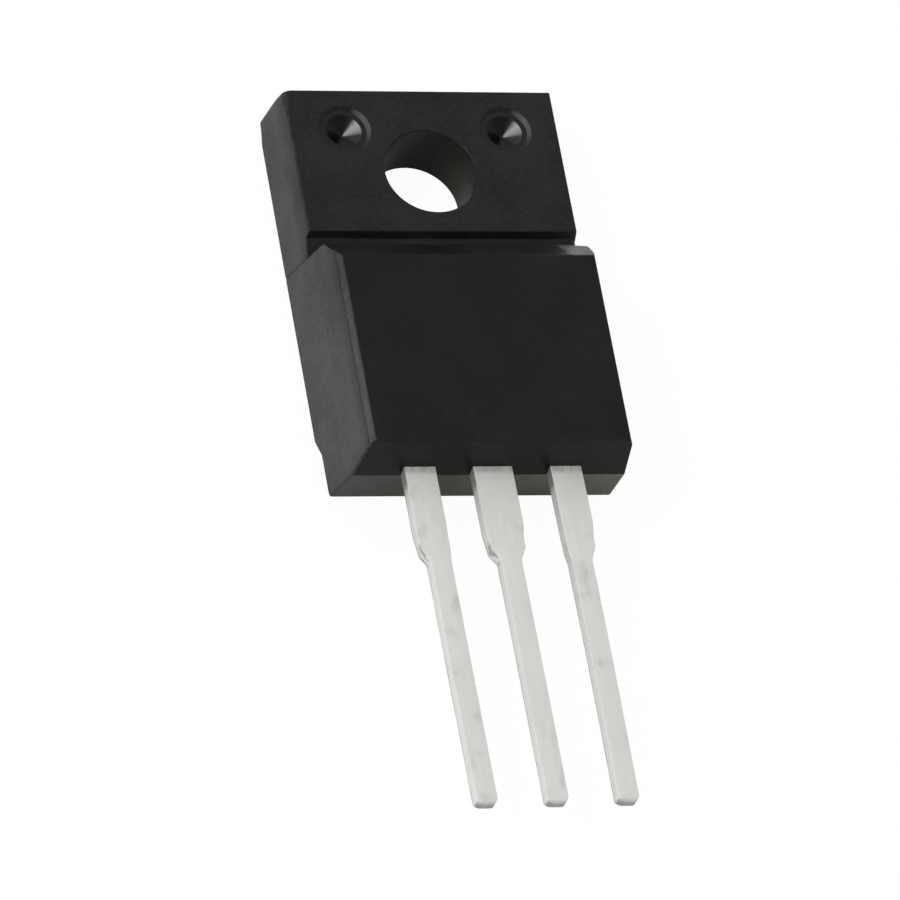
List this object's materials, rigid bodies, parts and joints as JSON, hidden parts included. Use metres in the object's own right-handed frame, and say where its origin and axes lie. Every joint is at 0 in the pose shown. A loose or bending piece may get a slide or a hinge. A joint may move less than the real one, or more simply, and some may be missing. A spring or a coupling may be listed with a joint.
{
  "type": "power transistor",
  "caption": "Fully moulded power transistor: thick drafted body with a screw tab, two holding pin pits, a recess on the back and three flat tinned leads.",
  "frame": {"origin": "axis of the mounting hole on the flat mounting face at the back", "axes": "+Z out of the front of the part along the hole's axis, +Y towards the top of the tab, the leads running towards -Y, +X to the right as seen from the front"},
  "size_m": [0.0104, 0.0292, 0.0046],
  "materials": {
    "moulding_compound": "matte black epoxy moulding compound with a fine spark-eroded grain",
    "tinned_copper": "matte tin plating on stamped copper, slightly mottled, with bare sheared tips",
    "silicon": "opaque metallised silicon, satin",
    "solder": "dull grey soft solder",
    "aluminium_wire": "bright drawn aluminium wire"
  },
  "bodies": {
    "root": {"moulded_body": "moulding_compound", "header_with_centre_lead": "tinned_copper", "left_lead": "tinned_copper", "right_lead": "tinned_copper", "die": "silicon", "die_solder": "solder", "control_bond_wire": "aluminium_wire", "main_bond_wire": "aluminium_wire"}
  },
  "joints": []
}
